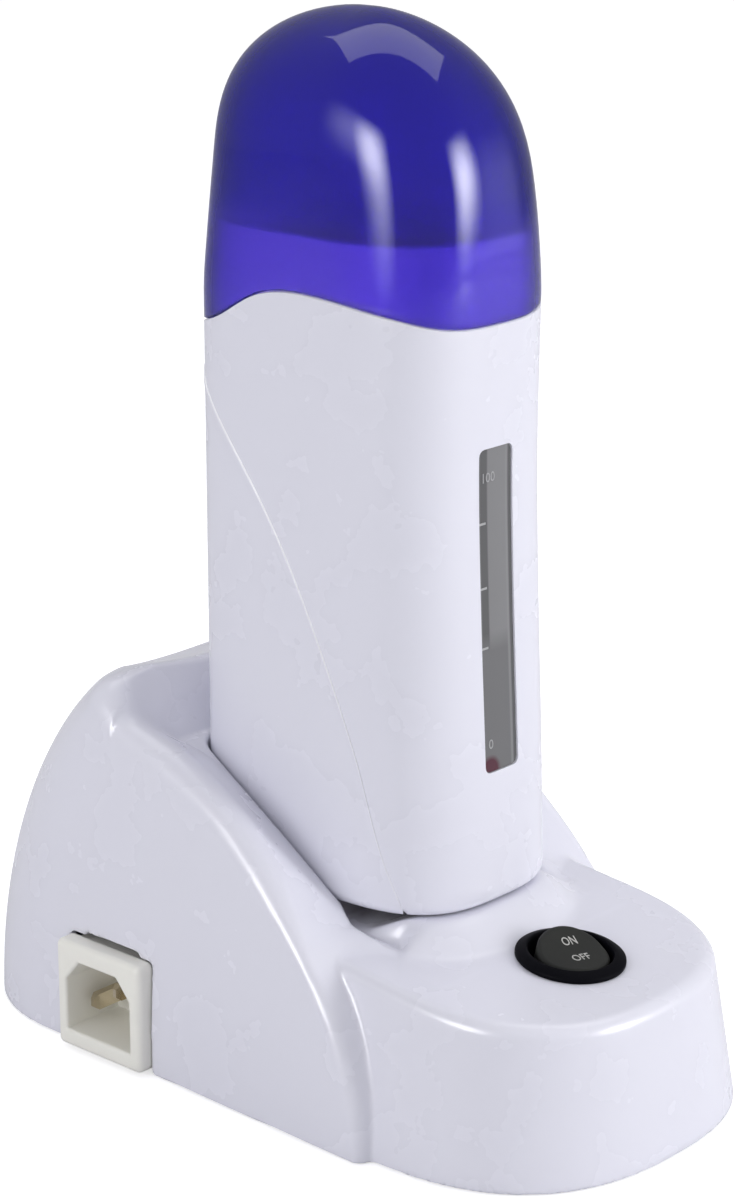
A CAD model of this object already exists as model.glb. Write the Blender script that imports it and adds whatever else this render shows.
"""Looks of a roll-on wax heater: a handset with a translucent cap, standing in a mains base.

Sizes are millimetres in the row frame and become metres when a mesh is made.
"""
import math

import bmesh
import bpy
import numpy as np
from mathutils import Matrix, Vector


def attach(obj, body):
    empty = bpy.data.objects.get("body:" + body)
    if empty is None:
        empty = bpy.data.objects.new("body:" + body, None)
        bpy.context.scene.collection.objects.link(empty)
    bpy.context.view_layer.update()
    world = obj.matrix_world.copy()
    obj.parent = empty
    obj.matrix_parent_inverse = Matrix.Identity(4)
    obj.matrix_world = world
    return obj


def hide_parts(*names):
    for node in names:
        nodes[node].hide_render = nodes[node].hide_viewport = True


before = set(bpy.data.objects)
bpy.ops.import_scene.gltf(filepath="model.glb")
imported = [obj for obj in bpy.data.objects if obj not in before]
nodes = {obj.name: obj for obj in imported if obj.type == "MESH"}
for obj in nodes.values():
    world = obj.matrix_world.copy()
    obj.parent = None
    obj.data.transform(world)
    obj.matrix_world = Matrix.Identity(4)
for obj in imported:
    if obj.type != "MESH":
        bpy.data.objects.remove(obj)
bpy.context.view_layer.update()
MM = 0.001

# ---------------------------------------------------------------- sizes
BASE_W, FOOT_LIFT, LOWER_EDGE_Z, WALL = 94.0, 1.2, 0.3, 2.2
GROOVE_Y, CHEEK_Y = -44.5, -45.2
CREST_Z, CREST_SAG, RIDGE_W = 84.0, 2.0, 24.0
DECK_Z, DECK_SLOPE, SWITCH_Y, SWITCH_HOLE_R = 35.0, math.tan(math.radians(6)), -60.0, 9.5
TONGUE_W, TONGUE_L, TONGUE_DRAFT = 43.8, 44.0, math.tan(math.radians(8.5))
HS_W, HS_Y, HS_FRONT, HS_BACK = 49.8, -9.7, 30.0, 36.4
FOOT_Z, SEAT_Z, TOP_Z = 43.0, 61.0, 223.5
FOOT_FRONT, FOOT_KNEE_Y = 32.6, -12.3
RIM_X, POCKET_BACK = HS_W / 2 + 0.4, HS_BACK + 0.6
RIM_Y, RIM_Z, RIM_SLOPE, RIM_TOP_Z = -22.3, 42.3, 0.6875, 69.0
RIM_END_Y, SEAT_DROP = -19.0, 6.5
LEDGE_Z, LEDGE_INSET, LEDGE_SIDE_RAMP, LEDGE_FRONT_RAMP = 42.8, 1.3, 3.4, 10.6
SEAM_Z, SEAM_GAP = 169.7, 0.2
WINDOW_W, WINDOW_Z0, WINDOW_Z1, CORNER, LENS_GAP = 10.4, 71.6, 139.2, 1.5, 0.1
CAP_WALL, SKIRT_WALL, COLLAR_TOP = 1.8, 1.1, 180.5
ROCKER_R, PIVOT, THROW = 7.65, -3.0, 11.0
INLET_Y, INLET_Z, INLET_W, INLET_H = 30.0, 13.2, 25.5, 24.6
SOCKET_W, SOCKET_H = 19.4, 16.4
PRINT = 0.06  # how far marks and letters stand proud
VIEW_TURN, VIEW_DOWN = math.radians(-48), math.radians(17.2)


# ---------------------------------------------------------------- maths
def curve(knots, x):
    """Smooth curve through knots (x, y), with each knot's slope from its neighbours."""
    kx, ky = np.array(knots, float).T
    x = np.clip(x, kx[0], kx[-1])
    i = np.clip(np.searchsorted(kx, x, side="right") - 1, 0, len(kx) - 2)
    slope = np.empty(len(kx))
    slope[1:-1] = (ky[2:] - ky[:-2]) / (kx[2:] - kx[:-2])
    slope[0] = (ky[1] - ky[0]) / (kx[1] - kx[0])
    slope[-1] = (ky[-1] - ky[-2]) / (kx[-1] - kx[-2])
    h = kx[i + 1] - kx[i]
    t = (x - kx[i]) / h
    return (ky[i] * (2 * t**3 - 3 * t**2 + 1) + slope[i] * h * (t**3 - 2 * t**2 + t)
            + ky[i + 1] * (3 * t**2 - 2 * t**3) + slope[i + 1] * h * (t**3 - t**2))


def ramp(x, start, end):
    """0 up to start, 1 from end on, and straight between them."""
    return np.clip((x - start) / (end - start), 0, 1)


def ease(t):
    """Smooth step of t from 0 to 1."""
    return t * t * (3 - 2 * t)


def signed_power(v, e):
    return np.sign(v) * np.abs(v) ** e


def meet(a, b, r):
    """Intersection of two distance fields with an edge rounded to radius r."""
    return np.minimum(np.maximum(a, b), -r) + np.hypot(np.maximum(a + r, 0), np.maximum(b + r, 0))


def join(a, b, r):
    """Union of two distance fields with a filleted valley of radius r."""
    return np.maximum(np.minimum(a, b), r) - np.hypot(np.maximum(r - a, 0), np.maximum(r - b, 0))


def oval(x, y, a, b, n):
    """Distance, to first order, from a superellipse of half sizes a and b."""
    u = np.maximum(np.abs(x), 1e-3) / a
    v = np.maximum(np.abs(y), 1e-3) / b
    r = (u**n + v**n) ** (1 / n)
    slope = np.hypot(u ** (n - 1) / a, v ** (n - 1) / b) * r ** (1 - n)
    return (r - 1) / slope


def box_field(p, low, high, r=0.0):
    """Distance from a box between two corners, with edges of radius r."""
    c = (np.array(low) + np.array(high)) / 2
    half = (np.array(high) - np.array(low)) / 2 - r
    q = np.abs(p - c) - half
    return np.linalg.norm(np.maximum(q, 0), axis=-1) + np.minimum(q.max(-1), 0) - r


# ---------------------------------------------------------------- form of the base
# upper edge of the cheek: distance behind its front end, share of the crest's height
EDGE = [(0, 0), (3.5, 0.167), (8.4, 0.312), (15.6, 0.441), (23.4, 0.577), (31.9, 0.720),
        (42.2, 0.829), (55.2, 0.897), (65.6, 0.946), (74.2, 1)]
EDGE_STRETCH = 0.961


def deck(y):
    return DECK_Z + DECK_SLOPE * (y - SWITCH_Y)


def rim_line(y):
    return RIM_Z + (y - RIM_Y) * RIM_SLOPE


def rim(y):
    """Height of the pocket's rim: level at the back, then sloping down to a low lip."""
    lip = deck(y) - 1 + 2.9 * ramp(y, -44, -31)
    slope = rim_line(y) - RIM_TOP_Z
    return np.maximum(RIM_TOP_Z + 0.5 * (slope - np.sqrt(slope**2 + 30)), lip)


def pocket_floor(y):
    return np.minimum(np.maximum(deck(y), rim_line(y) - SEAT_DROP), SEAT_Z)


def scoop_height(x, y):
    """Height of the scoop between the cheeks, which rises from the rim to their edge."""
    side = np.maximum(0, (np.abs(x) - RIM_X) / (BASE_W / 2 - 1 - RIM_X))
    back = np.maximum(0, (y - (HS_Y + POCKET_BACK)) / 9.5)
    s = (side**2.4 + back**2.4 + 1e-9) ** (1 / 2.4)
    low = rim(y)
    h = low + (CREST_Z * curve(EDGE, (y - CHEEK_Y) * EDGE_STRETCH) - low) * s
    # the shallow front end of the pocket's rim is a soft step that fades into the deck
    width = 0.02 + 2.6 * ramp(y, RIM_END_Y, RIM_END_Y - 5)
    t = np.clip((np.abs(x) - RIM_X + 0.2) / width, 0, 1)
    flat = pocket_floor(y)
    return np.where(y < RIM_END_Y, flat + (h - flat) * ease(t), h)


def roof_height(x, y):
    """Height of the ridge behind the handset, which sags in the middle."""
    sag = CREST_SAG * np.maximum(0, 1 - (x / RIDGE_W) ** 2)
    return CREST_Z - 0.8 - sag - 0.3 * np.maximum(0, y - 36) + 100 * (y < 20)


def below(height, x, y, z):
    """Distance field of what lies under a height function."""
    e = 0.05
    h = height(x, y)
    sx = (height(x + e, y) - height(x - e, y)) / (2 * e)
    sy = (height(x, y + e) - height(x, y - e)) / (2 * e)
    return (z - h) / np.sqrt(1 + np.minimum(sx**2 + sy**2, 30))


def flank(x, y, z):
    """Outer wall of the cheeks and the round back."""
    u = np.clip(z / (CREST_Z + 4), 0, 0.999)
    w = 1 - (1 - u**2) ** 0.7
    lean = 5 * u**1.5
    front_w, back_w = BASE_W / 2 - lean, BASE_W / 2 - 2.4 - lean
    start, depth, n = 50 - 30 * w, 38.5 - 26 * w, 2.15 + 0.7 * w
    t = ramp(y, CHEEK_Y, start)
    straight = np.abs(x) - (front_w + (back_w - front_w) * t)
    bent = oval(x, y - start, back_w, depth, n)
    return np.where(y > start, bent, straight)


def tongue(x, y, z):
    """Rounded nose with the sloping deck on it, drafted at its sides."""
    draft = np.clip(z - FOOT_LIFT, 0, 40) * TONGUE_DRAFT
    side = oval(x, np.maximum(GROOVE_Y - y, 0), TONGUE_W - draft, TONGUE_L - draft, 2.5)
    side = np.where(y > GROOVE_Y, np.abs(x) - (TONGUE_W - draft), side) * 0.98
    return meet(meet(side, z - deck(y), 2.6), y - (GROOVE_Y + 22), 0.8)


def pocket(x, y, z):
    """Room that the handset stands in."""
    back = oval(x, np.maximum(y - HS_Y, 0), RIM_X, POCKET_BACK, 4.4)
    plan = np.where(y > HS_Y, back, np.abs(x) - RIM_X)
    return np.maximum(np.maximum(plan, pocket_floor(y) + 0.03 - z), -47 - y)


def ledge_height(x, y):
    """Deck that rises to the handset's foot: a long ramp in front, a short one at the sides."""
    away = oval(x, np.minimum(y - HS_Y, 0), HS_W / 2 - LEDGE_INSET, FOOT_FRONT - LEDGE_INSET, 3.1)
    long = ease(ramp(y, -33, -39))
    width = LEDGE_SIDE_RAMP + (LEDGE_FRONT_RAMP - LEDGE_SIDE_RAMP) * long
    rise = ease(np.clip(1 - away / width, 0, 1)) * ease(ramp(y, -22, -35))
    return deck(y) - 0.3 + (LEDGE_Z - deck(y)) * rise


def foot_ledge(x, y, z):
    plan = box_field(np.stack([x, y, 0 * x], -1), (-30, -52, -1), (30, -14, 1))
    return meet(below(ledge_height, x, y, z), plan, 0.4)


def housing_outside(p):
    """Outer form of the housing, with rounded edges and the pocket."""
    x, y, z = p[..., 0], p[..., 1], p[..., 2]
    wall = meet(flank(x, y, z), CHEEK_Y - y, 3.2)
    cheeks = meet(wall, below(scoop_height, x, y, z), 2.4 + 5.6 * ease(ramp(z, 36, 60)))
    cheeks = meet(cheeks, below(roof_height, x, y, z), 1.4)
    form = join(cheeks, tongue(x, y, z), 0.8)
    form = meet(form, -pocket(x, y, z), np.clip((y + 22) / 5, 0.02, 0.9))
    return join(form, np.maximum(foot_ledge(x, y, z), 25 - z), 0.6)


def housing(p):
    """Hollow housing, open below, with its cut-outs."""
    x, y, z = p[..., 0], p[..., 1], p[..., 2]
    outside = housing_outside(p)
    f = np.maximum(meet(outside, LOWER_EDGE_Z - z, 0.5), -(outside + WALL))
    tilt = math.atan(DECK_SLOPE)
    v = (y - SWITCH_Y) * math.cos(tilt) + (z - DECK_Z) * math.sin(tilt)
    f = np.maximum(f, SWITCH_HOLE_R - np.hypot(x, v) - 1000 * ((z < 20) | (y > -40)))
    notch = box_field(p, (-60, INLET_Y - INLET_W / 2 - 0.3, -5),
                      (-38, INLET_Y + INLET_W / 2 + 0.3, INLET_Z + INLET_H / 2 + 0.3), 1.4)
    slot = box_field(p, (-60, INLET_Y - 9, 5),
                     (-38, INLET_Y + 8, INLET_Z + INLET_H / 2 + 1.2), 0.6)
    plug = box_field(p, (-7.4, -28.4, 30), (7.4, -19.6, 50), 1)
    for hole in (notch, slot, plug):
        f = np.maximum(f, -hole)
    return f


# ---------------------------------------------------------------- meshing a field
CORNERS = [(i, j, k) for i in (0, 1) for j in (0, 1) for k in (0, 1)]


def field_mesh(field, low, high, step):
    """Quad mesh of a field's zero surface: one vertex a cell, then drawn onto the surface."""
    axes = [np.arange(a, b + step, step) for a, b in zip(low, high)]
    shape = tuple(len(a) for a in axes)
    values = np.empty(shape, np.float32)
    gy, gz = np.meshgrid(axes[1], axes[2], indexing="ij")
    for i in range(0, shape[0], 8):
        xs = axes[0][i:i + 8]
        p = np.empty((len(xs),) + gy.shape + (3,))
        p[..., 0] = xs[:, None, None]
        p[..., 1] = gy
        p[..., 2] = gz
        values[i:i + 8] = field(p)
    inside = values < 0
    cells = tuple(n - 1 for n in shape)
    count = sum(inside[i:i + cells[0], j:j + cells[1], k:k + cells[2]].astype(np.int8)
                for i, j, k in CORNERS)
    mixed = (count > 0) & (count < 8)
    number = np.full(cells, -1, np.int64)
    number[mixed] = np.arange(mixed.sum())
    at = np.argwhere(mixed)
    total, hits = np.zeros((len(at), 3)), np.zeros(len(at))
    for a in CORNERS:
        for axis in range(3):
            if a[axis]:
                continue
            b = tuple(1 if m == axis else a[m] for m in range(3))
            va = values[tuple((at + a).T)]
            vb = values[tuple((at + b).T)]
            cut = (va < 0) != (vb < 0)
            t = np.where(cut, va / np.where(cut, va - vb, 1), 0)
            point = at + np.array(a) + t[:, None] * (np.array(b) - np.array(a))
            total[cut] += point[cut]
            hits[cut] += 1
    verts = np.array(low) + total / hits[:, None] * step
    faces = []
    for axis in range(3):
        o1, o2 = (axis + 1) % 3, (axis + 2) % 3
        first = [slice(None)] * 3
        second = [slice(None)] * 3
        first[axis], second[axis] = slice(0, -1), slice(1, None)
        change = inside[tuple(first)] != inside[tuple(second)]
        edge = np.argwhere(change)
        keep = (edge[:, o1] > 0) & (edge[:, o2] > 0)
        keep &= (edge[:, o1] < cells[o1]) & (edge[:, o2] < cells[o2])
        edge = edge[keep]
        ring = []
        for d1, d2 in ((0, 0), (-1, 0), (-1, -1), (0, -1)):
            c = edge.copy()
            c[:, o1] += d1
            c[:, o2] += d2
            ring.append(number[tuple(c.T)])
        quad = np.stack(ring, 1)
        out = inside[tuple(edge.T)]
        quad[~out] = quad[~out][:, ::-1]
        faces.append(quad)
    faces = np.concatenate(faces)
    for turn in range(4):
        if turn < 2:
            verts = relax(verts, faces)
        verts = settle(field, verts, step)
    return verts, faces


def relax(verts, faces):
    """Moves each vertex half way to the mean of its neighbours."""
    total, count = np.zeros_like(verts), np.zeros(len(verts))
    for i in range(4):
        a, b = faces[:, i], faces[:, (i + 1) % 4]
        for m, n in ((a, b), (b, a)):
            np.add.at(total, m, verts[n])
            np.add.at(count, m, 1)
    return 0.5 * verts + 0.5 * total / count[:, None]


def gradient(field, p):
    """Slope of the field at each point, by central differences."""
    e = 0.04
    return np.stack([(field(p + d) - field(p - d)) / (2 * e) for d in np.eye(3) * e], -1)


def settle(field, verts, step):
    """Moves each vertex towards the field's zero surface, by less than half a cell."""
    g = gradient(field, verts)
    move = field(verts)[:, None] * g / np.maximum((g**2).sum(1), 0.05)[:, None]
    length = np.linalg.norm(move, axis=1)[:, None]
    return verts - move * np.minimum(1, 0.4 * step / np.maximum(length, 1e-9))


# ---------------------------------------------------------------- form of handset and cap
# front of the handset by height; seam under the cap and crease of the back shell by y
FRONT = [(40, 2.7), (50, 2.5), (72, 1.7), (105, 0), (135, -1), (170, -0.5)]
SEAM = [(-42, -6.6), (-30, -2.4), (-10, 0), (3, -1.4), (16, -8), (28, -11.6)]
CREASE = [(-35, 38), (-33.7, 43.5), (-28.6, 57), (-23, 76), (-14.2, 96.6), (-3.3, 116.9),
          (8, 132.6), (28, 154)]


def dome(z, z0, top, p, q):
    """Share of the section's size that is left at a height, from 1 at z0 to 0 at the top."""
    return np.maximum(1 - ramp(z, z0, top) ** p, 0) ** (1 / q)


def handset_point(w, z, t=0.0, top=TOP_Z):
    """Point of the handset's or cap's skin at angle w (degrees) and height z, inset by t."""
    w, z = np.broadcast_arrays(np.asarray(w, float), np.asarray(z, float))
    lean = np.maximum(0, z - 166) / (top - 166)
    rise = np.maximum(0, z - 191) / (top - 191)
    k = ramp(z, 170, top)
    a = (HS_W / 2 - 2 * lean - t) * dome(z, 191, top, 3, 1.5)
    front = (HS_FRONT + curve(FRONT, z) - t) * dome(z, 160.4, top, 3.3, 2.04)
    back = (HS_BACK - 2 * lean - t) * dome(z, 191, top, 3.3, 2.1)
    c, s = np.cos(np.radians(w)), np.sin(np.radians(w))
    n = np.where(s < 0, 3.1 - 0.8 * k, 4.4 - 1.9 * k)
    x = a * signed_power(c, 2 / n)
    y = HS_Y + 4.8 * rise**2 + np.where(s < 0, front, back) * signed_power(s, 2 / n)
    return np.stack([x, y, z], -1)


def seam(y):
    return SEAM_Z + curve(SEAM, y)


def crease(y):
    return curve(CREASE, y)


def foot(y):
    """Lower edge of the back shell, which climbs along the pocket's floor."""
    end = RIM_Y + (SEAT_Z + SEAT_DROP - RIM_Z) / RIM_SLOPE
    return FOOT_Z + ramp(y, FOOT_KNEE_Y, end) * (SEAT_Z + 0.3 - FOOT_Z)


def level_on_skin(w, line, start):
    """Height at which the skin at angle w meets a line z = line(y)."""
    z = np.full(len(w), float(start))
    for _ in range(12):
        z = 0.5 * z + 0.5 * line(handset_point(w, z)[:, 1])
    return z


def skin_angles(step):
    """Angles that part the handset's section into steps of equal length."""
    fine = np.linspace(0, 360, 7201)
    p = handset_point(fine, 100.0)
    s = np.concatenate([[0], np.cumsum(np.linalg.norm(np.diff(p[:, :2], axis=0), axis=1))])
    n = int(s[-1] / step)
    return np.interp(np.linspace(0, s[-1], n + 1)[:-1], s, fine)


def angle_at_x(x):
    """Angle on the front face where the skin has this x."""
    c = signed_power(np.asarray(x) / (HS_W / 2), 3.1 / 2)
    return 360 - np.degrees(np.arccos(c))


# ---------------------------------------------------------------- mesh helpers
def make_mesh(name, verts, faces, body, material, stands_for=(), sharp=40):
    """Piece from points in mm that moves with a body and stands for nodes of the frame."""
    mesh = bpy.data.meshes.new(name)
    mesh.from_pydata((np.asarray(verts) * MM).tolist(), [], [list(map(int, f)) for f in faces])
    mesh.validate()
    mesh.update()
    mesh.shade_smooth()
    mark_sharp(mesh, sharp)
    mesh.materials.append(material)
    obj = bpy.data.objects.new(name, mesh)
    bpy.context.scene.collection.objects.link(obj)
    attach(obj, body)
    if stands_for:
        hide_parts(*stands_for)
    return obj


def mark_sharp(mesh, degrees):
    """Keeps edges sharper than this crisp while the rest shades smoothly."""
    bm = bmesh.new()
    bm.from_mesh(mesh)
    for edge in bm.edges:
        if len(edge.link_faces) == 2:
            edge.smooth = edge.calc_face_angle(0) < math.radians(degrees)
    bm.to_mesh(mesh)
    bm.free()


def grid_faces(rows, cols, closed, keep=None):
    """Quads of a grid of points stored row by row, wound so that they face outwards."""
    faces = []
    last = cols if closed else cols - 1
    for i in range(rows - 1):
        for j in range(last):
            if keep is not None and not keep[i, j]:
                continue
            a, b = i * cols + j, i * cols + (j + 1) % cols
            faces.append((a, b, b + cols, a + cols))
    return faces


def border_edges(faces):
    """Directed edges that only one face uses."""
    used = {}
    for f in faces:
        for a, b in zip(f, f[1:] + f[:1]):
            used[(a, b)] = True
    return [(a, b) for a, b in used if (b, a) not in used]


def thick_skin(w, heights, inset, wall, keep=None, closed=True):
    """Closed shell over a grid of angles and heights, inset by an edge profile on the outside."""
    rows, cols = heights.shape
    outer = handset_point(w[None, :], heights, inset).reshape(-1, 3)
    inner = handset_point(w[None, :], heights, wall).reshape(-1, 3)
    faces = grid_faces(rows, cols, closed, keep)
    edges = border_edges(faces)
    n = len(outer)
    faces += [tuple(n + v for v in reversed(f)) for f in faces]
    faces += [(b, a, n + a, n + b) for a, b in edges]
    verts = np.concatenate([outer, inner])
    used = np.unique(np.array([v for f in faces for v in f]))
    renumber = np.full(len(verts), -1)
    renumber[used] = np.arange(len(used))
    return verts[used], [tuple(renumber[v] for v in f) for f in faces]


def rolled(distance, radius):
    """Inset of a rounded edge at a distance from it."""
    d = np.clip(radius - distance, 0, radius)
    return radius - np.sqrt(np.maximum(radius**2 - d**2, 0))


# ---------------------------------------------------------------- materials
def feed(tree, target, inputs):
    """Sets inputs of a shader node, by name or number, to values or links them to sockets."""
    for key, value in inputs.items():
        if isinstance(value, bpy.types.NodeSocket):
            tree.links.new(value, target.inputs[key])
        else:
            target.inputs[key].default_value = value


def node(tree, kind, inputs=None, **settings):
    """Adds a shader node with its inputs and settings."""
    new = tree.nodes.new("ShaderNode" + kind)
    for key, value in settings.items():
        setattr(new, key, value)
    feed(tree, new, inputs or {})
    return new


def calc(tree, operation, *values, clamp=False):
    """Output of a maths node on values and sockets."""
    made = node(tree, "Math", dict(enumerate(values)), operation=operation, use_clamp=clamp)
    return made.outputs[0]


def noise(tree, where, scale, detail=2):
    inputs = {"Scale": scale, "Detail": detail, "Vector": where}
    return node(tree, "TexNoise", inputs).outputs["Fac"]


def map_range(tree, value, to_min, to_max, from_min=0, from_max=1):
    inputs = {"Value": value, "From Min": from_min, "From Max": from_max,
              "To Min": to_min, "To Max": to_max}
    return node(tree, "MapRange", inputs).outputs["Result"]


def shade(tree, value, stops):
    """Colour ramp through stops (position, colour)."""
    ramp_node = node(tree, "ValToRGB", {"Fac": value})
    points = ramp_node.color_ramp.elements
    while len(points) < len(stops):
        points.new(0.5)
    for point, (position, color) in zip(points, stops):
        point.position = position
        point.color = (*color, 1)
    return ramp_node.outputs["Color"]


def in_object(tree):
    return node(tree, "TexCoord").outputs["Object"]


def new_material(name):
    material = bpy.data.materials.new(name)
    material.use_nodes = True
    tree = material.node_tree
    return material, tree, tree.nodes["Principled BSDF"]


def plastic(name, color, rough=0.3, spread=0.03, grain=0.0, coat=0.0, spec=0.5):
    """Moulded plastic: slight colour and gloss variation, fine moulding grain."""
    material, tree, body = new_material(name)
    where = in_object(tree)
    cloud = noise(tree, where, 60, 4)
    low = [c * (1 - spread) for c in color]
    feed(tree, body, {
        "Roughness": map_range(tree, cloud, max(0, rough - 0.04), rough + 0.04),
        "Base Color": shade(tree, cloud, [(0.3, low), (0.7, color)]),
        "Coat Weight": coat, "Coat Roughness": 0.08, "Specular IOR Level": spec})
    if grain:
        fine = noise(tree, where, 2600, 2)
        bump = node(tree, "Bump", {"Strength": grain, "Distance": 0.0002, "Height": fine})
        feed(tree, body, {"Normal": bump.outputs["Normal"]})
    return material


def metal(name, color, rough=0.3, brushed=False):
    """Metal with slightly uneven gloss, brushed along Z where asked."""
    material, tree, body = new_material(name)
    place = node(tree, "Mapping", {"Vector": in_object(tree),
                                   "Scale": (1, 1, 0.04 if brushed else 1)})
    uneven = noise(tree, place.outputs["Vector"], 900 if brushed else 200, 3)
    feed(tree, body, {
        "Roughness": map_range(tree, uneven, rough - 0.08, rough + 0.08),
        "Base Color": shade(tree, uneven, [(0, [c * 0.85 for c in color]), (1, color)]),
        "Metallic": 1})
    return material


def lamp_plastic(name, color):
    """Translucent plastic that glows faintly."""
    material, tree, body = new_material(name)
    cloud = noise(tree, in_object(tree), 40)
    feed(tree, body, {
        "Base Color": shade(tree, cloud, [(0, [c * 0.95 for c in color]), (1, color)]),
        "Transmission Weight": 0.2, "Roughness": 0.2, "IOR": 1.46,
        "Emission Color": (0.5, 0.05, 0.09, 1), "Emission Strength": 0.35})
    return material


def tinted_wall(name):
    """Clear plastic tinted through its depth; its inner face, marked on the mesh, is matt."""
    material, tree, body = new_material(name)
    cloud = noise(tree, in_object(tree), 50)
    inside = node(tree, "Attribute", attribute_name="inside").outputs["Fac"]
    matt = calc(tree, "MULTIPLY", inside, 0.3)
    feed(tree, body, {
        "Base Color": (1, 1, 1, 1), "Transmission Weight": 1, "IOR": 1.55,
        "Roughness": calc(tree, "ADD", matt, map_range(tree, cloud, 0.03, 0.07))})
    soak = node(tree, "VolumeAbsorption", {"Color": (0.23, 0.0, 0.89, 1), "Density": 1300})
    feed(tree, tree.nodes["Material Output"], {"Volume": soak.outputs["Volume"]})
    return material


# greys across the sight window, as (share of its width, grey), above and below the level
UPPER_STRIPES = [(0, 0.2), (0.05, 0.19), (0.08, 0.115), (0.25, 0.115), (0.29, 0.235),
                 (0.8, 0.245), (0.83, 0.27), (0.87, 0.25), (0.9, 0.11), (1, 0.11)]
LOWER_STRIPES = [(0, 0.18), (0.06, 0.175), (0.8, 0.175), (0.84, 0.25), (0.88, 0.23),
                 (0.91, 0.11), (1, 0.12)]
LAMP_SPOT = (-0.0033, 0, 0.0722)


def window_plastic(name):
    """Smoky plastic with the ribs behind it as soft stripes, dark red over the lamp."""
    material, tree, body = new_material(name)
    split = node(tree, "SeparateXYZ", {0: in_object(tree)}).outputs
    across = map_range(tree, split["X"], 0, 1, -0.0052, 0.0052)
    upper, lower = (shade(tree, across, [(s, (grey, grey, grey * 1.03)) for s, grey in stripes])
                    for stripes in (UPPER_STRIPES, LOWER_STRIPES))
    above = map_range(tree, split["Z"], 0, 1, 0.097, 0.101)
    smoke = node(tree, "MixRGB", {"Fac": above, "Color1": lower, "Color2": upper})
    flat = node(tree, "CombineXYZ", {"X": split["X"], "Z": split["Z"]})
    away = node(tree, "VectorMath", {0: flat.outputs["Vector"], 1: LAMP_SPOT},
                operation="DISTANCE")
    near = map_range(tree, away.outputs["Value"], 1, 0, 0.0021, 0.0032)
    glow = node(tree, "MixRGB", {"Fac": near, "Color1": smoke.outputs["Color"],
                                 "Color2": (0.095, 0.022, 0.04, 1)})
    feed(tree, body, {"Base Color": glow.outputs["Color"], "Transmission Weight": 0.12,
                      "Roughness": 0.16, "IOR": 1.46})
    return material


def light_edges(material):
    """Lets a mesh attribute lighten the material along a witness line."""
    tree = material.node_tree
    body = tree.nodes["Principled BSDF"]
    mix = node(tree, "MixRGB", {
        "Fac": node(tree, "Attribute", attribute_name="edge").outputs["Fac"],
        "Color1": body.inputs["Base Color"].links[0].from_socket,
        "Color2": (0.97, 0.97, 1.0, 1)})
    feed(tree, body, {"Base Color": mix.outputs["Color"]})


WHITE = plastic("gloss_white", (0.775, 0.775, 0.86), rough=0.27, spread=0.004, coat=0.2)
light_edges(WHITE)
WHITE_INNER = plastic("satin_white", (0.9, 0.89, 0.93), rough=0.4, spread=0.02, grain=0.1)
PLATE = plastic("plate_white", (0.70, 0.70, 0.76), rough=0.5, spread=0.04, grain=0.3)
RUBBER = plastic("foot_rubber", (0.06, 0.06, 0.065), rough=0.8, spread=0.15, grain=0.5)
IVORY = plastic("inlet_ivory", (0.90, 0.89, 0.83), rough=0.42, spread=0.03, grain=0.15)
BEZEL = plastic("bezel_black", (0.004, 0.004, 0.006), rough=0.5, spread=0.1, grain=0.1,
                spec=0.03)
ROCKER = plastic("rocker_black", (0.03, 0.031, 0.029), rough=0.5, spread=0.12, grain=0.15,
                 spec=0.1)
BLOCK = plastic("block_dark", (0.04, 0.04, 0.045), rough=0.55, spread=0.1, grain=0.3)
CAP = tinted_wall("cap_violet")
LENS = window_plastic("window_smoke")
LAMP = lamp_plastic("lamp_red", (0.45, 0.03, 0.06))
LEGEND = plastic("legend_grey", (0.5, 0.5, 0.48), rough=0.5, spread=0.1)
MARKS = plastic("mark_grey", (0.38, 0.38, 0.39), rough=0.5, spread=0.1)
STEEL = metal("screw_steel", (0.62, 0.63, 0.65), 0.3)
PLATED = metal("pin_plated", (0.62, 0.54, 0.40), 0.25)
BRASS = metal("contact_brass", (0.75, 0.56, 0.26), 0.3)
ALUMINIUM = metal("liner_aluminium", (0.72, 0.73, 0.74), 0.38, brushed=True)
HEATER = metal("heater_steel", (0.42, 0.42, 0.44), 0.42, brushed=True)
LEADS = {
    "lead_live": plastic("lead_brown", (0.16, 0.06, 0.025), rough=0.4, spread=0.1),
    "lead_switched": plastic("lead_black", (0.02, 0.02, 0.022), rough=0.4, spread=0.1),
    "lead_neutral": plastic("lead_blue", (0.03, 0.09, 0.32), rough=0.4, spread=0.1),
    "lead_heater": plastic("lead_red", (0.34, 0.03, 0.02), rough=0.4, spread=0.1),
    "lead_return": plastic("lead_pale_blue", (0.05, 0.13, 0.36), rough=0.4, spread=0.1),
}
NODE_LOOK = {
    "base_bottom_plate": PLATE, "base_feet": RUBBER, "base_screws": STEEL,
    "inlet_body": IVORY, "inlet_pins": PLATED, "switch_body": BEZEL,
    "switch_rocker": ROCKER, "switch_terminals": BRASS, "dock_plug": BLOCK,
    "dock_pins": BRASS, "dock_screws": STEEL, "chamber_collar": WHITE_INNER,
    "chamber_liner": ALUMINIUM, "heater_plates": HEATER, "heater_clamps": HEATER,
    "thermostat": BLOCK, "window_lens": LENS, "indicator_lamp": LAMP,
    "handset_socket": BLOCK, "socket_contacts": BRASS, "handset_screws": STEEL,
    "base_housing": WHITE, "handset_main_shell": WHITE, "handset_back_shell": WHITE,
    "cap": CAP, **LEADS,
}
for name, look in NODE_LOOK.items():
    nodes[name].data.materials.clear()
    nodes[name].data.materials.append(look)

# ---------------------------------------------------------------- base housing
GRID = 0.7
housing_verts, housing_faces = field_mesh(housing, (-49, -90.6, -0.6), (49, 90.6, 86.6), GRID)
make_mesh("base_shell", housing_verts, housing_faces, "base", WHITE, ("base_housing",),
          50)

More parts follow.
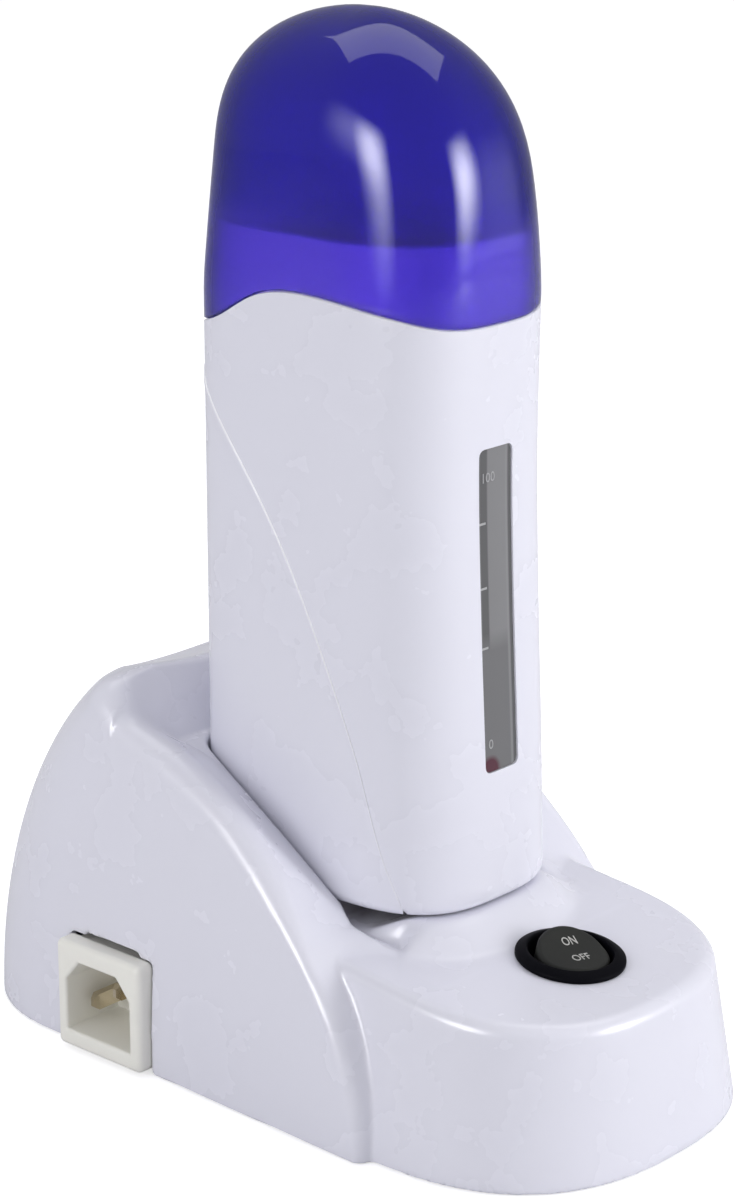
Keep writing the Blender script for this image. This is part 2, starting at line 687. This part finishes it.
# ---------------------------------------------------------------- handset shells
side_steps = np.array([0, 0.12, 0.4, 0.85, 1.5, 2.4, 3.4, 4.3])
window_x = np.concatenate([side_steps - WINDOW_W / 2, (WINDOW_W / 2 - side_steps)[::-1]])
window_turn = angle_at_x(window_x)
turn = skin_angles(0.9)
beside = (turn > window_turn[0] - 0.6) & (turn < window_turn[-1] + 0.6)
turn = np.sort(np.concatenate([turn[~beside], window_turn]))
FRONT_Y = -33.8  # the crease runs out here, in front of it the main shell reaches the foot


def main_shell_edge(y):
    return np.where(y < FRONT_Y, FOOT_Z, np.maximum(crease(y) - 0.12, FOOT_Z))


seam_z = level_on_skin(turn, seam, 165) - SEAM_GAP / 2
low_z = level_on_skin(turn, main_shell_edge, 100)
low_z = np.where(handset_point(turn, FOOT_Z)[:, 1] < FRONT_Y, FOOT_Z, low_z)
ROWS_LOW = np.concatenate([FOOT_Z + np.array([0, 0.15, 0.5, 1.0, 1.7, 2.6, 4]),
                           np.arange(49, WINDOW_Z0 - 1, 2.0)])
ROWS_MID = np.linspace(WINDOW_Z0, WINDOW_Z1, 36)
ROWS_TOP = np.concatenate([np.arange(WINDOW_Z1 + 2, 168, 2.2), [168.4, 168.9, 169.3, 169.6]])
rows = np.concatenate([ROWS_LOW, ROWS_MID, ROWS_TOP])
split = WINDOW_Z1 + 1
mid_z = np.maximum(split, low_z + 0.6 * (seam_z - low_z))
heights = np.where(
    rows[:, None] <= split,
    low_z + (rows[:, None] - FOOT_Z) * (mid_z - low_z) / (split - FOOT_Z),
    mid_z + (rows[:, None] - split) * (seam_z - mid_z) / (ROWS_TOP[-1] - split))
column_x = handset_point(turn, 100.0)[:, 0]
column_front = handset_point(turn, 100.0)[:, 1] < HS_Y
beside = WINDOW_W / 2 - np.abs(column_x)
arc = np.clip(CORNER - beside, 0, CORNER)
bow = np.where(column_front & (beside > -0.01), CORNER - np.sqrt(CORNER**2 - arc**2 + 1e-9), 0)
heights += bow * (np.clip(1 - np.abs(rows - WINDOW_Z0) / 5, 0, 1)
                  - np.clip(1 - np.abs(rows - WINDOW_Z1) / 5, 0, 1))[:, None]
edge_roll = np.where(low_z <= FOOT_Z + 0.01, 2.4, 0.02)
inset = rolled(heights - low_z, edge_roll) + rolled(seam_z - heights, 0.3)
cell_x = (column_x + np.roll(column_x, -1)) / 2
cell_front = column_front & np.roll(column_front, -1)
cell_z = ((rows[:-1] + rows[1:]) / 2)[:, None]
keep = ~((np.abs(cell_x) < WINDOW_W / 2) & cell_front
         & (cell_z > WINDOW_Z0) & (cell_z < WINDOW_Z1))
verts, faces = thick_skin(turn, heights, inset, WALL, keep)
make_mesh("main_shell", verts, faces, "handset", WHITE, ("handset_main_shell",), 38)

back_turn = skin_angles(0.9)
back_low = level_on_skin(back_turn, foot, 50)
back_high = level_on_skin(back_turn, crease, 100) - 0.01
holds = (handset_point(back_turn, 50.0)[:, 1] > -33.4) & (back_high > back_low + 0.3)
order = np.argsort(np.where(back_turn > 270, back_turn - 360, back_turn)[holds])
wrapped = np.where(back_turn > 270, back_turn - 360, back_turn)[holds][order]
lo, hi = back_low[holds][order], back_high[holds][order]
share = np.concatenate([[0, 0.002, 0.005, 0.01, 0.017], np.linspace(0.027, 1, 38)])
full = np.minimum(1, (hi - lo) / 24)  # the crease's steps and relief fade where it runs out
from_crease = np.array([9, 6.5, 4.5, 3, 2, 1.3, 0.8, 0.5, 0.36, 0.24, 0.14, 0.06, 0])
from_crease = from_crease[:, None] * full
back_heights = np.concatenate([lo + share[:-1, None] * (hi - lo - from_crease[0] * 1.12),
                               hi - from_crease])
back_inset = rolled(back_heights - lo, 2.3) + rolled(hi - back_heights, 0.45)
back_inset -= 0.22 * ease(np.clip(1 - (hi - back_heights) / 5, 0, 1)) * full
verts, faces = thick_skin(wrapped, back_heights, back_inset, WALL, closed=False)
back = make_mesh("back_shell", verts, faces, "handset", WHITE, ("handset_back_shell",),
                 38)
line = crease(verts[:, 1]) - verts[:, 2]
strength = np.clip(1.25 - line / 0.7, 0, 1) * np.clip((verts[:, 2] - 40) / 50, 0.6, 1)
edge = back.data.attributes.new("edge", "FLOAT", "POINT")
edge.data.foreach_set("value", strength.astype(np.float32))

# ---------------------------------------------------------------- cap
cap_low = level_on_skin(turn, seam, 165) + SEAM_GAP / 2
climb = np.concatenate([[0, 0.004, 0.012, 0.024], np.linspace(0.05, 0.6, 12),
                        0.6 + 0.4 * np.sin(np.linspace(0.06, math.pi / 2 - 0.05, 26))])


def cap_skin(t, top):
    """Points of the cap's outside where t is 0, else of its inside, thinner at the skirt."""
    z = cap_low + climb[:, None] * (top - 0.02 - cap_low)
    if t == 0:
        return handset_point(turn[None, :], z, rolled(z - cap_low, 0.4), top)
    above = ramp(z, COLLAR_TOP + 0.5, COLLAR_TOP + 5.5)
    return handset_point(turn[None, :], z, SKIRT_WALL + (t - SKIRT_WALL) * above, top)


def closed_cup(outer, inner):
    """Cup from two grids of points that share their lower edge, each closed by a middle point."""
    rows, cols = outer.shape[:2]
    verts = [outer.reshape(-1, 3), inner.reshape(-1, 3)]
    n = rows * cols
    faces = grid_faces(rows, cols, True)
    faces += [tuple(n + v for v in reversed(f)) for f in faces]
    for j in range(cols):
        k = (j + 1) % cols
        faces.append((k, j, n + j, n + k))
    for m, (grid, flip) in enumerate(((outer, False), (inner, True))):
        verts.append(grid[-1].mean(0)[None] + [[0, 0, 0.01]])
        centre = 2 * n + m
        for j in range(cols):
            a, b = m * n + (rows - 1) * cols + j, m * n + (rows - 1) * cols + (j + 1) % cols
            faces.append((b, a, centre) if flip else (a, b, centre))
    return np.concatenate(verts), faces


verts, faces = closed_cup(cap_skin(0, TOP_Z), cap_skin(CAP_WALL, TOP_Z - CAP_WALL))
cap_dome = make_mesh("cap_dome", verts, faces, "cap", CAP, ("cap",), 50)
outer_count = climb.size * turn.size
on_inner = np.zeros(len(verts), np.float32)
on_inner[outer_count:2 * outer_count] = 1
on_inner[-1] = 1
inside = cap_dome.data.attributes.new("inside", "FLOAT", "POINT")
inside.data.foreach_set("value", on_inner)

# ---------------------------------------------------------------- lens of the sight window
lens_x = np.concatenate([[-6.7, -5.12], window_x[1:-1] * (1 - LENS_GAP / 5.2), [5.12, 6.7]])
lens_x[2], lens_x[-3] = -5.1, 5.1
lens_turn = angle_at_x(lens_x)
z0, z1 = WINDOW_Z0 + LENS_GAP, WINDOW_Z1 - LENS_GAP
lens_rows = np.concatenate([[z0 - 1.5, z0 - 0.02], np.linspace(z0, z1, 30),
                            [z1 + 0.02, z1 + 1.5]])
arc = np.clip(CORNER - (5.1 - np.abs(lens_x)), 0, CORNER)
bow = np.where(np.abs(lens_x) < 5.11, CORNER - np.sqrt(CORNER**2 - arc**2 + 1e-9), 0)
lens_z = lens_rows[:, None] + bow * (
    np.clip(1 - np.abs(lens_rows - z0) / 5, 0, 1) - np.clip(1 - np.abs(lens_rows - z1) / 5, 0, 1)
)[:, None]
proud = ((lens_rows >= z0 - 0.01) & (lens_rows <= z1 + 0.01))[:, None] & (np.abs(lens_x) < 5.11)
verts, faces = thick_skin(lens_turn, lens_z, np.where(proud, 0.35, 2.4), 3.35, closed=False)
make_mesh("lens", verts, faces, "handset", LENS, ("window_lens",), 30)


# ---------------------------------------------------------------- marks
def lettering(name, text, width, height, body, material, place):
    """Raised characters, scaled to a size in mm and laid on a surface by place(u, v, out)."""
    data = bpy.data.curves.new(name + "_text", "FONT")
    data.body = text
    data.extrude = PRINT
    data.resolution_u = 3
    source = bpy.data.objects.new(name + "_text", data)
    mesh = bpy.data.meshes.new_from_object(source)
    p = np.array([tuple(v.co) for v in mesh.vertices])
    faces = [tuple(f.vertices) for f in mesh.polygons]
    bpy.data.objects.remove(source)
    bpy.data.curves.remove(data)
    bpy.data.meshes.remove(mesh)
    low, high = p.min(0), p.max(0)
    u = (p[:, 0] - (low[0] + high[0]) / 2) * width / (high[0] - low[0])
    v = (p[:, 1] - (low[1] + high[1]) / 2) * height / (high[1] - low[1])
    return make_mesh(name, place(u, v, p[:, 2]), faces, body, material, sharp=30)


def plate(name, width, height, body, material, place):
    """Raised bar, laid on a surface by place(u, v, out)."""
    c = np.array([(i, j, k) for k in (-PRINT, PRINT)
                  for i, j in ((-1, -1), (1, -1), (1, 1), (-1, 1))], float)
    faces = [(3, 2, 1, 0), (4, 5, 6, 7)]
    faces += [(i, (i + 1) % 4, 4 + (i + 1) % 4, 4 + i) for i in range(4)]
    verts = place(c[:, 0] * width / 2, c[:, 1] * height / 2, c[:, 2])
    return make_mesh(name, verts, faces, body, material, sharp=30)


def on_window(x0, z0):
    def place(u, v, out):
        z = z0 + v
        return handset_point(angle_at_x((x0 + u) * HS_W / (HS_W - 0.7)), z, 0.35 - out)
    return place


lettering("mark_full", "100", 3.6, 2.0, "handset", MARKS, on_window(-1.9, 133.2))
lettering("mark_low", "0", 1.3, 2.0, "handset", MARKS, on_window(-3.0, 77.6))
for i, z in enumerate((123.9, 110.5, 98.0)):
    plate("mark_tick_%d" % i, 1.9, 0.45, "handset", MARKS, on_window(-3.9, z))

# ---------------------------------------------------------------- switch
SWITCH = (Matrix.Translation((0, SWITCH_Y, DECK_Z))
          @ Matrix.Rotation(math.atan(DECK_SLOPE), 4, "X")
          @ Matrix.Rotation(math.radians(-20), 4, "Z"))
SWITCH_ON = (SWITCH @ Matrix.Translation((0, 0, PIVOT))
             @ Matrix.Rotation(math.radians(THROW), 4, "X") @ Matrix.Translation((0, 0, -PIVOT)))


def moved(matrix, points):
    m = np.array(matrix)
    return np.asarray(points) @ m[:3, :3].T + m[:3, 3]


def rocker_top(u, v):
    """Height of the rocker's top in its own frame: two slopes that meet softly."""
    slopes = 1.9 + math.tan(math.radians(THROW)) * (np.sqrt(v**2 + 3) - 0.6)
    return slopes - 0.006 * u**2 - rolled(ROCKER_R - np.hypot(u, v), 1.0)


rings = ROCKER_R * np.concatenate([np.linspace(0.04, 0.86, 16),
                                   0.86 + 0.14 * np.sin(np.linspace(0.2, 1.57, 8))])
spin = np.radians(np.arange(0, 360, 4))
u = rings[:, None] * np.cos(spin)
v = rings[:, None] * np.sin(spin)
top = np.stack([u, v, rocker_top(u, v)], -1)[::-1]
wall = np.repeat(top[:1], 2, 0).copy()
wall[1, :, 2], wall[0, :, 2] = -4.0, -5.4
wall[0, :, 1] *= 0.93
rows = np.concatenate([wall, top])
count, cols = rows.shape[:2]
verts = list(rows.reshape(-1, 3))
faces = grid_faces(count, cols, True)
faces.append(tuple(range(cols))[::-1])
faces.append(tuple((count - 1) * cols + j for j in range(cols)))
stub = np.radians(np.arange(0, 360, 20))
for side in (-1, 1):
    first = len(verts)
    for x in (4.0, 8.3):
        verts += [(side * x, math.cos(a), PIVOT + math.sin(a)) for a in stub]
    for j in range(len(stub)):
        k = (j + 1) % len(stub)
        quad = (first + j, first + k, first + len(stub) + k, first + len(stub) + j)
        faces.append(quad if side > 0 else quad[::-1])
    ends = [tuple(range(first, first + len(stub)))[::-1],
            tuple(range(first + len(stub), len(verts)))]
    faces += ends if side > 0 else [e[::-1] for e in ends]
make_mesh("rocker_key", moved(SWITCH_ON, verts), faces, "rocker", ROCKER, ("switch_rocker",),
          35)


def on_rocker(u0, v0):
    def place(u, v, out):
        x, y = u0 + u, v0 + v
        return moved(SWITCH_ON, np.stack([x, y, rocker_top(x, y) + out], -1))
    return place


lettering("legend_on", "ON", 3.3, 2.2, "rocker", LEGEND, on_rocker(0.5, 3.0))
lettering("legend_off", "OFF", 4.0, 2.2, "rocker", LEGEND, on_rocker(0.4, -2.3))


def lathe(profile, segments=120):
    """Turned part from a closed profile of (radius, height) points."""
    a = np.radians(np.arange(segments) * 360 / segments)
    r, h = np.array(profile, float).T
    points = np.stack([r[:, None] * np.cos(a), r[:, None] * np.sin(a), h[:, None] + 0 * a], -1)
    faces = grid_faces(len(profile), segments, True)
    last = (len(profile) - 1) * segments
    faces += [(last + j, last + (j + 1) % segments, (j + 1) % segments, j)
              for j in range(segments)]
    return points.reshape(-1, 3), faces


verts, faces = lathe([
    (5.1, -15), (9.0, -15), (9.3, -14.7), (9.3, 0.05), (11.35, 0.05), (11.48, 0.2), (11.5, 0.7),
    (11.44, 0.95), (11.2, 1.15), (9.9, 1.75), (9.4, 1.92), (9.15, 1.9), (8.95, 1.72), (8.8, 1.2),
    (8.6, 0.2), (8.5, -1), (8.5, -11.5), (5.1, -11.5)])
make_mesh("switch_bezel", moved(SWITCH, verts), faces, "base", BEZEL, ("switch_body",),
          40)


# ---------------------------------------------------------------- inlet
def inlet(p):
    """Bezel and body of the inlet with its socket opening and pin holes."""
    q = p - np.array([0, INLET_Y, INLET_Z])
    bezel = box_field(q, (-48.5, -INLET_W / 2, -INLET_H / 2),
                      (-43.0, INLET_W / 2, INLET_H / 2), 1.5)
    body = box_field(q, (-44.5, -INLET_W / 2 + 1.05, -INLET_H / 2 + 2.9),
                     (-31.0, INLET_W / 2 - 1.05, INLET_H / 2 - 0.9), 1.0)
    w, h = SOCKET_W / 2, SOCKET_H / 2
    across, up = np.abs(q[..., 1]), q[..., 2]
    opening = np.maximum(np.maximum(across - w, np.abs(up) - h),
                         ((across - w) * 4.6 + (up - h) * 4.0 + 18.4) / 6.1)
    opening = np.maximum(opening, q[..., 0] + 33.2)
    f = meet(np.minimum(bezel, body), -opening, 0.6)
    for y, z in ((-7, -3), (7, -3), (0, 1.2)):
        f = np.maximum(f, -box_field(q, (-36, y - 1.1, z - 2), (-28, y + 1.1, z + 2)))
    return f


verts, faces = field_mesh(inlet, (-49.3, INLET_Y - 13.6, 0), (-30.2, INLET_Y + 13.6, 26.6),
                          0.4)
make_mesh("inlet_shell", verts, faces, "base", IVORY, ("inlet_body",), 45)

# ---------------------------------------------------------------- stage, lights, camera
def area_light(name, place, aim, size, power):
    data = bpy.data.lights.new(name, "AREA")
    data.shape = "RECTANGLE"
    data.size, data.size_y = size
    data.energy = power
    light = bpy.data.objects.new(name, data)
    bpy.context.scene.collection.objects.link(light)
    light.location = place
    light.rotation_euler = (Vector(aim) - Vector(place)).to_track_quat("-Z", "Y").to_euler()
    return light


def soften(light, tight):
    """Makes the light fade smoothly towards its edges, the faster the higher tight is."""
    light.data.use_nodes = True
    tree = light.data.node_tree
    split = node(tree, "SeparateXYZ", {0: node(tree, "NewGeometry").outputs["Parametric"]})
    across, up = (calc(tree, "MULTIPLY", split.outputs[axis],
                       calc(tree, "SUBTRACT", 1, split.outputs[axis])) for axis in "XY")
    peak = calc(tree, "MULTIPLY", calc(tree, "MULTIPLY", across, up), 16)
    feed(tree, tree.nodes["Emission"], {"Strength": calc(tree, "POWER", peak, tight)})


# name, place, height it aims at, size, watts, tightness, rays that don't see it
LIGHTS = [
    ("left_strip", (-1.12, -0.08, 0.47), 0.2, (0.8, 0.95), 29, 2, "diffuse"),
    ("left_wing", (-1.10, 0.26, 0.60), 0.2, (1.2, 0.8), 6.5, 2, ""),
    ("front_strip", (0.52, -1.03, 0.40), 0.2, (0.7, 0.85), 25, 2, "diffuse"),
    ("right_card", (1.0, -0.84, 0.26), 0.2, (0.9, 0.9), 1.8, 2, "diffuse"),
    ("left_key", (-1.12, -0.10, 0.30), 0.2, (0.24, 0.75), 5.1, 1, "glossy"),
    ("front_key", (0.50, -1.04, 0.30), 0.2, (0.2, 0.7), 9.7, 1, "glossy"),
    ("front_fill", (0.95, -1.2, 0.6), 0.1, (1.6, 1.3), 15, 1, "glossy"),
]
for name, place, aim_z, size, power, tight, unseen_by in LIGHTS:
    light = area_light(name, place, (0, 0, aim_z), size, power)
    soften(light, tight)
    if unseen_by:
        setattr(light, "visible_" + unseen_by, False)
overhead = area_light("overhead", (0.48, 0.24, 1.42), (0.48, 0.24, 0), (1.7, 0.75), 5.6)
overhead.rotation_euler = (0, 0, VIEW_TURN)

# The camera sees a white world; mirrored in the part it is dimmer, and brighter seen through it.
world = bpy.data.worlds.new("studio")
bpy.context.scene.world = world
world.use_nodes = True
sky = world.node_tree
rays = node(sky, "LightPath").outputs
mirrored = calc(sky, "SUBTRACT", rays["Is Glossy Ray"], rays["Is Transmission Ray"], clamp=True)
dimmer = calc(sky, "MULTIPLY_ADD", mirrored, -0.08, 0.5)
studio = sky.nodes["Background"]
feed(sky, studio, {
    "Color": (0.97, 0.97, 1.0, 1),
    "Strength": calc(sky, "MULTIPLY_ADD", rays["Is Transmission Ray"], 0.15, dimmer)})
plain = node(sky, "Background", {"Color": (1, 1, 1, 1), "Strength": 1})
both = node(sky, "MixShader", {0: rays["Is Camera Ray"], 1: studio.outputs[0],
                               2: plain.outputs[0]})
feed(sky, sky.nodes["World Output"], {"Surface": both.outputs[0]})

FLOOR = 4
floor_mesh = bpy.data.meshes.new("floor")
floor_mesh.from_pydata([(-FLOOR, -FLOOR, 0), (FLOOR, -FLOOR, 0), (FLOOR, FLOOR, 0),
                        (-FLOOR, FLOOR, 0)], [], [(0, 1, 2, 3)])
floor = bpy.data.objects.new("floor", floor_mesh)
bpy.context.scene.collection.objects.link(floor)
floor_look, floor_tree, floor_body = new_material("floor_white")
feed(floor_tree, floor_body, {"Base Color": (0.74, 0.74, 0.76, 1), "Roughness": 0.9,
                              "Specular IOR Level": 0})
seen = node(floor_tree, "LightPath").outputs["Is Camera Ray"]
glow = node(floor_tree, "Emission", {"Color": (1, 1, 1, 1),
                                     "Strength": calc(floor_tree, "MULTIPLY", seen, 0.6)})
both = node(floor_tree, "AddShader", {0: floor_body.outputs[0], 1: glow.outputs[0]})
feed(floor_tree, floor_tree.nodes["Material Output"], {"Surface": both.outputs[0]})
floor_mesh.materials.append(floor_look)

camera_data = bpy.data.cameras.new("camera")
camera_data.lens = 94.77
camera_data.sensor_width = 36
camera_data.clip_end = 20
camera = bpy.data.objects.new("camera", camera_data)
bpy.context.scene.collection.objects.link(camera)
camera.location = (-0.47026, -0.42762, 0.29596)
camera.rotation_euler = (math.radians(90) - VIEW_DOWN, 0, VIEW_TURN)
bpy.context.scene.camera = camera
bpy.context.scene.view_settings.view_transform = "Standard"

bpy.context.view_layer.update()
